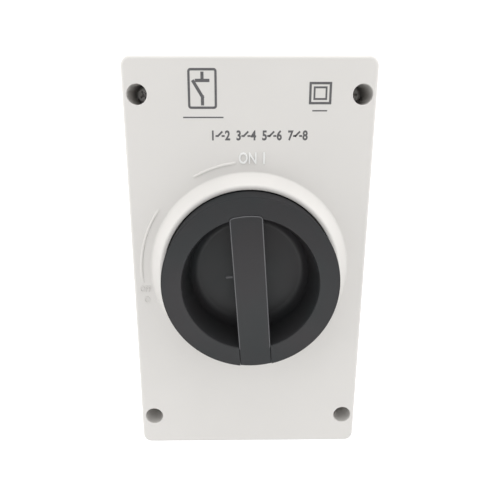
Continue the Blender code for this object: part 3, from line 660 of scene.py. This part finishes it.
def make_materials():
    """Every material, by the name that the pieces ask for; CAD slots have a material of the same name."""
    along_z, along_y = (1.0, 1.0, 0.08), (1.0, 0.08, 1.0)
    kinds = {
        "cover_plastic": (
            moulded_plastic, (0.748, 0.730, 0.704), (0.25, 0.245, 0.235), 0.46, 0.00022, 0.000006, 0.45
        ),
        # The base is the same plastic as the cover, painted darker than it. This is painted shade against the
        # strong light from behind.
        "base_plastic": (
            moulded_plastic, (0.655, 0.650, 0.635), (0.30, 0.295, 0.28), 0.50, 0.00026, 0.000010, 0.25
        ),
        "knob_plastic": (gloss_plastic, (0.0300, 0.0330, 0.0345), (0.0350, 0.0332, 0.0352), 0.23),
        # Pale gloss plastic for the index dash. It is also put on the lever's front edge fillet as a painted
        # highlight line.
        "pale_dash_and_painted_edge_highlight": (gloss_plastic, (0.11, 0.11, 0.12), (0.15, 0.15, 0.155), 0.5),
        "switch_plastic": (filled_plastic,),
        "rubber": (rubber,),
        "steel": (plated_metal, (0.66, 0.66, 0.64), (0.48, 0.48, 0.46), 0.32, along_z),
        "dull_steel": (plated_metal, (0.80, 0.79, 0.78), (0.66, 0.65, 0.64), 0.62, along_z),
        "copper": (plated_metal, (0.86, 0.50, 0.35), (0.55, 0.26, 0.16), 0.30, along_y),
        "grey_ink": (printed_ink, (0.088, 0.086, 0.090), (0.150, 0.148, 0.152)),
        "white_ink": (printed_ink, (0.92, 0.92, 0.91), (0.84, 0.84, 0.83)),
    }  # fmt: skip
    return {name: kind(name, *values) for name, (kind, *values) in kinds.items()}


# ---------------------------------------------------------------- cover
def make_cover(material):
    """The front cover: a shell with the knob's collar, four screw wells and the raised marks."""
    outline = rectangle(BASE_W, BASE_H, CORNER_R, steps=8)
    stations = [(COVER_BACK + away, distance) for away, distance in SEAM_EDGE]
    stations += edge_arc(FRONT, COVER_DRAFT, FRONT_EDGE_R, steps=8)
    cover = slab("cover_shell", outline, stations)
    cut(cover, prism("cavity", cavity_outline(), COVER_BACK - OVERRUN, FRONT - PLATE))
    cut(cover, prism("opening", circle(COLLAR_TOP_R + 0.001, segments=ROUND), RECESS_BACK, FRONT + OVERRUN))
    join(cover, collar())
    for sx, sy in CORNERS:
        cut(cover, screw_well(sx * SCREW_X, sy * SCREW_Y))
    for start, end in TRAVEL_STRETCHES:
        join(cover, travel_rib(start, end))
    for mark in raised_marks():
        join(cover, mark)
    return place(cover, material, "box", "front_cover")


def collar():
    """The cone round the knob, its recess and the hub that guides the knob."""
    profile = filleted(
        [
            (COLLAR_TOP_R, COLLAR_TOP, 0.0018),
            (COLLAR_BASE_R, FRONT + 0.0001, 0.0010),
            (COLLAR_BASE_R + COLLAR_FLARE, FRONT - 0.00005, 0.0),
            (COLLAR_BASE_R + COLLAR_FLARE, FRONT - PLATE / 2, 0.0),
            (COLLAR_BASE_R - 0.002, RECESS_BACK, 0.0),
            (HUB_R, RECESS_BACK, 0.0005),
            (HUB_R, HUB_END, 0.0003),
            (HUB_BORE_R, HUB_END, 0.0003),
            (HUB_BORE_R, RECESS_FLOOR, 0.0003),
            (RECESS_R, RECESS_FLOOR, 0.0008),
            (RECESS_R, COLLAR_TOP, 0.0003),
        ],
        steps=4,
    )
    return lathe("collar", profile)


def screw_well(x, y):
    """The cutter of a screw well, with a softened lip and the screw's clearance hole."""
    profile = [
        (0.0, FRONT + OVERRUN),
        (WELL_R + WELL_LIP, FRONT + OVERRUN),
        (WELL_R + WELL_LIP, FRONT),
        (WELL_R + WELL_LIP * 0.3, FRONT - WELL_LIP * 0.4),
        (WELL_R, FRONT - WELL_LIP * 1.4),
        (WELL_R, WELL_FLOOR + WELL_FILLET),
        (WELL_R - WELL_FILLET, WELL_FLOOR),
        (WELL_HOLE_R, WELL_FLOOR),
        (WELL_HOLE_R, COVER_BACK - OVERRUN),
        (0.0, COVER_BACK - OVERRUN),
    ]
    well = lathe("well", profile, FINE)
    well.data.transform(Matrix.Translation((x, y, 0.0)))
    return well


def travel_rib(start, end):
    """A low rounded rib on an arc about the knob, fading out at both ends."""
    steps = max(6, int((end - start) / 1.5))
    sections = []
    for step in range(steps + 1):
        share = step / steps
        rise = TRAVEL_H * min(1.0, 8 * share + 0.15, 8 * (1 - share) + 0.15)
        angle = math.radians(90 + start + (end - start) * share)
        ring = []
        for point in range(9):
            across = math.pi * point / 8
            radius = TRAVEL_R + TRAVEL_W / 2 * math.cos(across)
            depth = FRONT + rise * math.sin(across)
            ring.append((radius * math.cos(angle), radius * math.sin(angle), depth))
        for radius in (TRAVEL_R - TRAVEL_W / 2, TRAVEL_R + TRAVEL_W / 2):
            ring.append((radius * math.cos(angle), radius * math.sin(angle), FRONT - 0.0006))
        sections.append(ring)
    return loft("travel_rib", sections)


def raised_marks():
    """OFF and O at 9 o'clock, moulded proud of the cover."""
    return [
        lettering("mark_off", "OFF", 0.0028, (-0.0445, -0.0085), 0.66, MARK_ROOT, OFF_TOP),
        lettering("mark_o", "O", 0.0030, (-0.0440, -0.0135), 0.8, MARK_ROOT, OFF_TOP),
    ]


# ---------------------------------------------------------------- base
def make_base(material):
    """The base box: a shell with wall holes, screw posts for the rail and two cable entries."""
    outline = rectangle(BASE_W, BASE_H, CORNER_R, steps=8)
    stations = edge_arc(0.0, 0.0, BACK_EDGE_R, rising=False)
    stations += [(BASE_DEPTH - away, distance) for away, distance in reversed(SEAM_EDGE)]
    base = slab("base_shell", outline, stations)
    cut(base, prism("cavity", cavity_outline(), BACK_WALL, BASE_DEPTH + OVERRUN))
    for sx, sy in CORNERS:
        pilot = circle(PILOT_R, (sx * SCREW_X, sy * SCREW_Y))
        cut(base, prism("pilot", pilot, PILOT_FLOOR, BASE_DEPTH + OVERRUN))
        cut(base, wall_hole(sx * WALL_HOLE_X, sy * WALL_HOLE_Y))
    for side in (-1, 1):
        centre = (side * POST_X, 0.0)
        join(base, prism("post", circle(POST_R, centre), BACK_WALL / 2, POST_END))
        cut(base, prism("post_hole", circle(POST_HOLE_R, centre), POST_HOLE_FLOOR, POST_END + OVERRUN))
        cut(base, entry_hole(side))
    return place(base, material, "box", "base_box")


def wall_hole(x, y):
    """A wall-fixing hole, countersunk on the inside, with a softened rear edge."""
    chamfer = 0.0002
    profile = [
        (0.0, BACK_WALL + OVERRUN),
        (COUNTERSINK_R, BACK_WALL + OVERRUN),
        (COUNTERSINK_R, BACK_WALL),
        (WALL_HOLE_R, BACK_WALL - COUNTERSINK_H),
        (WALL_HOLE_R, chamfer),
        (WALL_HOLE_R + chamfer, 0.0),
        (WALL_HOLE_R + chamfer, -OVERRUN),
        (0.0, -OVERRUN),
    ]
    hole = lathe("wall_hole", profile, FINE)
    hole.data.transform(Matrix.Translation((x, y, 0.0)))
    return hole


def entry_hole(side):
    """A cable entry with its spot face, cut through the top (side 1) or bottom (side -1) wall."""
    seat_r = PLUG_R + 2 * GAP
    outside = BASE_H / 2
    inside = outside - WALL - OVERRUN / 2
    profile = [
        (0.0, outside + OVERRUN),
        (seat_r + GAP, outside + OVERRUN),
        (seat_r + GAP, outside),
        (seat_r, outside - GAP),
        (seat_r, outside - ENTRY_SEAT),
        (ENTRY_R + GAP, outside - ENTRY_SEAT),
        (ENTRY_R + GAP, inside),
        (0.0, inside),
    ]
    hole = lathe("entry", profile, 96)
    hole.data.transform(upright(side))
    return hole


def upright(side):
    """Turns a shape made about z so that it stands on the top (1) or bottom (-1) wall."""
    return Matrix.Translation((0.0, 0.0, PLUG_DEPTH)) @ Matrix.Rotation(-side * math.pi / 2, 4, "X")


def make_plug(index, side, material):
    """A screw-in blanking plug: domed head with a coin slot, hollow thread below."""
    top = PLUG_HIGH.z
    head_back = BASE_H / 2 - ENTRY_SEAT + PLUG_HEAD_H
    thread_r = ENTRY_R - GAP
    profile = filleted(
        [
            (0.0, top, 0.0),
            (PLUG_R * 0.62, top, 0.0008),
            (PLUG_R * 0.66, top - 0.0003, 0.0002),
            (PLUG_R * 0.92, top - 0.0003, 0.0006),
            (PLUG_R, top - 0.0011, 0.0003),
            (PLUG_R, head_back, 0.0002),
            (thread_r, head_back, 0.0),
            (thread_r, head_back - PLUG_THREAD_L, 0.0004),
            (thread_r - PLUG_WALL, head_back - PLUG_THREAD_L, 0.0004),
            (thread_r - PLUG_WALL, head_back - 0.001, 0.0004),
            (0.0, head_back - 0.001, 0.0),
        ],
        steps=3,
        closed=False,
    )
    plug = lathe(f"blanking_plug_{index}", profile, 96)
    slot_stations = [(top - 0.0009, 0.0001), (top - 0.0007, 0.0), (top + OVERRUN / 2, 0.0)]
    cut(plug, slab("coin_slot", rectangle(0.0122, 0.0020, 0.00095), slot_stations))
    plug.data.transform(upright(side))
    return place(plug, material, "box", f"entry_plug_{index}")


def cross_head_screw(name, top, tip, head_r, head_h, shank_r, turn):
    """A pan-head screw with a cross recess, which is turned by an angle in degrees."""
    profile = filleted(
        [
            (0.0, top, 0.0),
            (head_r * 0.80, top, 0.0006),
            (head_r, top - 0.0009, 0.0005),
            (head_r, top - head_h, 0.0002),
            (shank_r, top - head_h, 0.0),
            (shank_r, tip + 0.002, 0.0003),
            (0.0, tip, 0.0),
        ],
        steps=4,
        closed=False,
    )
    screw = lathe(name, profile, FINE)
    arm, half = head_r * 0.56, head_r * 0.13
    cross = [
        (half, arm), (-half, arm), (-half, half), (-arm, half), (-arm, -half), (-half, -half),
        (-half, -arm), (half, -arm), (half, -half), (arm, -half), (arm, half), (half, half),
    ]  # fmt: skip
    sections = [[(x * CROSS_TAPER, y * CROSS_TAPER, top - CROSS_H) for x, y in cross]]
    sections += [[(x, y, top + rise) for x, y in cross] for rise in (0.0, 0.002)]
    recess = loft("cross_recess", sections)
    recess.data.transform(Matrix.Rotation(math.radians(turn), 4, "Z"))
    return cut(screw, recess)


def make_cover_screw(index, sx, sy, material):
    """The screw in one corner, with its cross turned differently from the others."""
    head_r = (SCREW_HIGH.x - SCREW_LOW.x) / 2
    head_h = SCREW_HEAD_TOP - WELL_FLOOR - GAP
    name = f"cover_screw_cross_{index}"
    turn = 31 * index
    screw = cross_head_screw(name, SCREW_HEAD_TOP, SCREW_TIP, head_r, head_h, COVER_SCREW_SHANK_R, turn)
    screw.data.transform(Matrix.Translation((sx * SCREW_X, sy * SCREW_Y, 0.0)))
    return place(screw, material, "box", f"cover_screw_{index}")


def make_knob_screw(material):
    """The screw that holds the knob on its shaft, seen when the lever is tilted."""
    low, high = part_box("knob_screw")
    head_r = (high.x - low.x) / 2
    screw = cross_head_screw(
        "knob_screw_cross", -low.y, -high.y, head_r, KNOB_SCREW_HEAD_H, KNOB_SCREW_SHANK_R, 20
    )
    return place(screw, material, "knob", "knob_screw", LEAN)


# ---------------------------------------------------------------- knob
def lever_outline(half, tip_r, tail_r, corner=0.0, arc_steps=6):
    """A bar across the knob whose two ends are arcs about the knob's centre."""
    corners = []
    for radius, middle, soft in ((tip_r, math.pi / 2, corner), (tail_r, -math.pi / 2, 0.0)):
        reach = math.asin(half / radius)
        for step in range(arc_steps + 1):
            angle = middle - reach + 2 * reach * step / arc_steps
            rounding = soft if step in (0, arc_steps) else 0.0
            corners.append((radius * math.cos(angle), radius * math.sin(angle), rounding))
        corners.append((math.copysign(half, -middle), -DISH_R, 0.0))
    return filleted(corners)


def make_knob(material):
    """The knob: a dished shell with a hollow rim, a hub, and the slot that the lever lies in."""
    profile = filleted(
        [
            (0.0, DISH_FLOOR, 0.0),
            (FLOOR_R, DISH_FLOOR, FLOOR_FILLET),
            (DISH_R, KNOB_FACE, 0.0005),
            (KNOB_R, KNOB_FACE, 0.0006),
            (KNOB_R, KNOB_BACK, 0.0003),
            (KNOB_R - SKIRT, KNOB_BACK, 0.0003),
            (KNOB_R - SKIRT, KNOB_FACE - SKIRT, 0.0008),
            (HOLLOW_FRONT_R, KNOB_FACE - SKIRT, 0.0006),
            (HOLLOW_BACK_R, KNOB_BACK, 0.0003),
            (KNOB_HUB_R, KNOB_BACK, 0.0008),
            (KNOB_HUB_R, KNOB_END, 0.0003),
            (0.0, KNOB_END, 0.0),
        ],
        steps=10,
        closed=False,
    )
    knob = lathe("knob_shell", profile, 160)
    add_lever_seat(knob)
    cut_lever_room(knob)
    cut_shaft_and_screw_room(knob)
    return place(knob, material, "knob", "knob_body", LEAN)


def add_lever_seat(knob):
    """The pedestal under the lever, and the block in the rim that holds its pin."""
    half = BAR_W / 2
    low, high = (-half, -PEDESTAL_REACH, DISH_FLOOR - 0.001), (half, PEDESTAL_REACH, PEDESTAL_TOP)
    join(knob, box("pedestal", low, high))
    low = (-BEARING_HALF_W, BEARING_START, KNOB_BACK + 0.004)
    high = (BEARING_HALF_W, BEARING_END, KNOB_FACE - 0.001)
    join(knob, box("bearing", low, high))


def cut_lever_room(knob):
    """The slot for the lever, room for its tail to swing, and the pin's hole."""
    half = BAR_W / 2 + LEVER_SIDE_GAP
    slot = lever_outline(half, LEVER_TIP_R + LEVER_GAP, LEVER_TAIL_R + OVERRUN, TIP_CORNER_R)
    cut(knob, prism("lever_slot", slot, PEDESTAL_TOP, KNOB_FACE + OVERRUN))
    low = (-half, -LEVER_TAIL_R - OVERRUN, PEDESTAL_TOP - TAIL_ROOM_H)
    cut(knob, box("tail_room", low, (half, TAIL_ROOM_START, KNOB_FACE + OVERRUN)))
    cut(knob, cross_hole("pin_hole", PIN_R + GAP, PIN_HALF_L, PIVOT_Y, PIVOT_DEPTH))


def cut_shaft_and_screw_room(knob):
    """The square bore for the shaft, with the screw's hole and seat in front of it."""
    bore = SHAFT_SIDE / 2 + GAP
    cut(knob, box("shaft_bore", (-bore, -bore, KNOB_END - OVERRUN), (bore, bore, SHAFT_FRONT + GAP)))
    above = PEDESTAL_TOP + OVERRUN / 2
    cut(knob, prism("screw_hole", circle(SCREW_HOLE_R, segments=24), SHAFT_FRONT - 0.002, above))
    cut(knob, prism("screw_seat", circle(SCREW_SEAT_R, segments=32), SCREW_SEAT_FLOOR, above))


def make_index_mark(material):
    """A short raised dash on the dish floor, paler than the rest."""
    outline = rectangle(0.0030, 0.0010, 0.0003, INDEX_CENTRE)
    stations = [(DISH_FLOOR - 0.0005, 0.0), (DISH_FLOOR + 0.0002, 0.0), (DISH_FLOOR + 0.0003, 0.0001)]
    place(slab("index_mark", outline, stations), material, "knob", frame_matrix=LEAN)


def make_lever(material, highlight_material):
    """The padlock lever, whose front edge fillet is painted pale as a painted highlight line."""
    outline = lever_outline(BAR_W / 2, LEVER_TIP_R, LEVER_TAIL_R, TIP_CORNER_R)
    stations = edge_arc(LEVER_BACK, 0.0, 0.0003, rising=False, steps=3)
    stations += edge_arc(KNOB_FACE, 0.0, BAR_EDGE_R, steps=5)
    lever = slab("lever_bar", outline, stations)
    cut(lever, cross_hole("padlock_hole", PADLOCK_R, BAR_W, PADLOCK_Y, PIVOT_DEPTH))
    cut(lever, cross_hole("pin_hole", PIN_R + GAP, BAR_W, PIVOT_Y, PIVOT_DEPTH))
    half = SPRING_ROOM_W / 2
    low = (-half, PIVOT_Y - SPRING_ROOM_HALF, PIVOT_DEPTH - 2 * SPRING_ROOM_HALF)
    high = (half, PIVOT_Y + SPRING_ROOM_HALF, PIVOT_DEPTH + SPRING_ROOM_HALF + 0.0001)
    cut(lever, box("spring_room", low, high))
    place(lever, material, "lever", "padlock_lever", LEAN)
    # The front edge fillet above the rim takes the pale material. This is a painted highlight line.
    lever.data.materials.append(highlight_material)
    tolerance = 0.000001
    for polygon in lever.data.polygons:
        on_edge = KNOB_FACE - BAR_EDGE_R < -polygon.center.y < KNOB_FACE - tolerance
        polygon.material_index = int(on_edge and polygon.center.z > -DISH_R)


# ---------------------------------------------------------------- printed symbols
def ink_plate(name, outline):
    """A printed area, just proud of the cover's face."""
    return prism(name, outline, FRONT - INK_H, FRONT + INK_H)


def stroke(start, end, width=INK_LINE):
    """A printed line between two points."""
    along = (Vector(end) - Vector(start)).normalized() * width / 2
    across = Vector((-along.y, along.x))
    a, b = Vector(start) - along, Vector(end) + along
    outline = [tuple(a - across), tuple(b - across), tuple(b + across), tuple(a + across)]
    return ink_plate("stroke", outline)


def ring(outline, width=INK_LINE):
    """A printed closed line just inside an outline."""
    plate = ink_plate("ring", outline)
    return cut(plate, prism("ring_hole", inset(outline, width), FRONT - 0.001, FRONT + 0.001))


def joined(name, shapes):
    """Several printed shapes as one object."""
    whole = shapes[0]
    whole.name = name
    for shape in shapes[1:]:
        join(whole, shape)
    return whole


def insulation_symbol():
    """The double square that marks double insulation."""
    outer = ring(rectangle(0.0087, 0.0083, 0.0, INSULATION_CENTRE), 0.0009)
    inner = ring(rectangle(0.0053, 0.0050, 0.0, INSULATION_CENTRE), 0.0007)
    return joined("print_double_square", [outer, inner])


def disconnector_symbol():
    """The circuit symbol of an open switch, in a frame."""
    x, y = DISCONNECTOR_CENTRE
    line = 0.0012
    shapes = [
        ring(rectangle(0.0112, 0.0150, 0.0012, DISCONNECTOR_CENTRE), 0.0009),
        stroke((x, y + 0.0056), (x, y + 0.0030), line),
        stroke((x - 0.0022, y + 0.0030), (x + 0.0022, y + 0.0030), line),
        stroke((x, y - 0.0030), (x - 0.0034, y + 0.0026), line),
        stroke((x, y - 0.0030), (x, y - 0.0056), line),
    ]
    return joined("print_switch_symbol", shapes)


def pole_diagram():
    """Four open contacts in a row, one for each pole, with terminal numbers."""
    y, height, weight, line = DIAGRAM_Y, 0.0036, 0.00016, 0.0007
    low, high = FRONT - INK_H, FRONT + INK_H
    shapes = []
    for pole in range(4):
        x = DIAGRAM_LEFT + pole * DIAGRAM_PITCH
        shapes += [
            lettering("number", str(2 * pole + 1), height, (x + 0.0008, y), 0.8, low, high, weight),
            stroke((x + 0.0022, y), (x + 0.0028, y), line),
            stroke((x + 0.0028, y), (x + 0.0043, y + 0.0015), line),
            stroke((x + 0.0046, y), (x + 0.0051, y), line),
            lettering("number", str(2 * pole + 2), height, (x + 0.0066, y), 0.8, low, high, weight),
        ]
    return joined("print_pole_diagram", shapes)


def on_mark():
    """ON and I at 12 o'clock, raised and filled with white."""
    form = (MARK_ROOT, FRONT + 0.0005, 0.00012, 0.0001)  # low, high, weight, edge
    on = lettering("print_on_mark", "ON", 0.0044, (-0.0008, ON_Y), 0.74, *form)
    return join(on, lettering("mark_i", "I", 0.0046, (0.0057, ON_Y), 0.8, *form))


def rules():
    """A thin rule under each of the two symbols."""
    long_rule = stroke((-0.0258, 0.0630), (-0.0106, 0.0630))
    return joined("print_rules", [long_rule, stroke((0.0245, 0.0655), (0.0298, 0.0655))])


def make_prints(materials):
    """Every printed symbol, in grey, and the ON mark in white."""
    for print_object in (insulation_symbol(), disconnector_symbol(), pole_diagram(), rules()):
        place(print_object, materials["grey_ink"], "box")
    place(on_mark(), materials["white_ink"], "box")


# ---------------------------------------------------------------- carried-over CAD nodes
def dress_cad_nodes(materials):
    """Gives each CAD node the material of its slot in the record."""
    slots = {part["node"]: part["material_slot"] for part in frame["record"]["subparts"]}
    for name, cad_node in frame["nodes"].items():
        cad_node.data.materials.clear()
        cad_node.data.materials.append(materials[slots[name]])


# ---------------------------------------------------------------- stage, light, camera
def make_stage():
    """A pale floor that curves up into a backdrop well behind the object."""
    floor, back, front, half_width, height, bend = -0.25, 1.6, -2.0, 2.2, 1.8, 0.5
    profile = [(front, floor), (back - bend, floor)]
    for step in range(1, 13):
        angle = math.pi / 2 * step / 12
        profile.append((back - bend + bend * math.sin(angle), floor + bend - bend * math.cos(angle)))
    profile.append((back, height))
    bm = bmesh.new()
    rows = [[bm.verts.new((x, y, z)) for x in (-half_width, half_width)] for y, z in profile]
    for lower, upper in zip(rows, rows[1:]):
        bm.faces.new((lower[0], lower[1], upper[1], upper[0]))
    stage = new_object("backdrop", bm)
    stage.data.shade_smooth()
    stage.data.materials.append(stage_paint("pale_paper"))


def area_light(name, place_at, aim, size, power):
    """A white softbox, turned towards its aim and hidden from the camera."""
    light = bpy.data.lights.new(name, "AREA")
    light.shape = "RECTANGLE"
    light.size, light.size_y = size
    light.energy = power
    obj = bpy.data.objects.new(name, light)
    obj.location = place_at
    obj.rotation_euler = (Vector(aim) - Vector(place_at)).to_track_quat("-Z", "Y").to_euler()
    obj.visible_camera = False
    bpy.context.scene.collection.objects.link(obj)


def make_lights():
    """An even white world with softboxes above and beside the object and a reflector below it."""
    world = bpy.data.worlds.new("studio")
    world.use_nodes = True
    world.node_tree.nodes["Background"].inputs["Color"].default_value = (1.0, 1.0, 1.0, 1.0)
    world.node_tree.nodes["Background"].inputs["Strength"].default_value = 0.89
    bpy.context.scene.world = world
    aim = (0.0, -0.06, 0.0)
    area_light("top_softbox", (0.05, -0.12, 0.75), aim, (0.7, 0.4), 2.1)
    area_light("left_softbox", (-0.75, -0.10, 0.15), aim, (0.35, 0.7), 1.6)
    area_light("right_softbox", (0.70, -0.10, 0.32), aim, (0.35, 0.7), 1.6)
    area_light("low_reflector", (0.0, -0.50, -0.235), aim, (0.4, 0.22), 0.6)


def make_camera():
    """A normal lens in front of the cover, a little above its middle and tipped down."""
    data = bpy.data.cameras.new("camera")
    data.sensor_width = 36.0
    data.lens = 36.0
    data.clip_start = 0.01
    camera = bpy.data.objects.new("camera", data)
    camera.location = (-0.0064, -0.2592, 0.0678)
    camera.rotation_euler = (math.radians(90 - 15.75), 0.0, math.radians(-0.74))
    bpy.context.scene.collection.objects.link(camera)
    bpy.context.scene.camera = camera


# ---------------------------------------------------------------- assembly
def main():
    materials = make_materials()
    dress_cad_nodes(materials)
    make_cover(materials["cover_plastic"])
    make_base(materials["base_plastic"])
    for index, side in enumerate((1, -1), start=1):
        make_plug(index, side, materials["base_plastic"])
    for index, (sx, sy) in enumerate(CORNERS, start=1):
        make_cover_screw(index, sx, sy, materials["dull_steel"])
    make_knob(materials["knob_plastic"])
    make_knob_screw(materials["steel"])
    make_index_mark(materials["pale_dash_and_painted_edge_highlight"])
    make_lever(materials["knob_plastic"], materials["pale_dash_and_painted_edge_highlight"])
    make_prints(materials)
    make_stage()
    make_lights()
    make_camera()
    bpy.context.scene.view_settings.view_transform = "Standard"


main()
